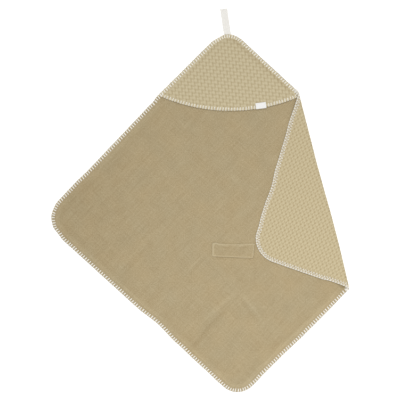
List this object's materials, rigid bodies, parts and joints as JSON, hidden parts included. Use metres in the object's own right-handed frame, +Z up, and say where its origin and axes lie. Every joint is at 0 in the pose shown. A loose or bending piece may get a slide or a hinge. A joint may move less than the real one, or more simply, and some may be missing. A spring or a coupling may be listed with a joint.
{
  "type": "baby bath wrap",
  "caption": "Hooded baby bath wrap laid flat: a square double cloth with rounded, stitched edges, a hood over the top corner and its right corner folded over the front.",
  "frame": {"origin": "on the surface that the wrap lies on, below the middle of its bounding box", "axes": "+Z up from the surface, +Y towards the hood's corner and the hanging loop, +X towards the folded corner"},
  "size_m": [0.8885, 1.1471, 0.0147],
  "materials": {
    "waffle": "cream cotton waffle weave",
    "terry": "sand-coloured sheared cotton terry",
    "stitching": "cream cotton yarn in blanket stitch",
    "tape": "off-white cotton tape",
    "label": "white satin ribbon, bare"
  },
  "bodies": {
    "root": {"outer_panel": "waffle", "lining_panel": "terry", "hood_panel": "waffle", "closing_band": "terry", "hanging_loop": "tape", "hem_label": "label"}
  },
  "joints": []
}
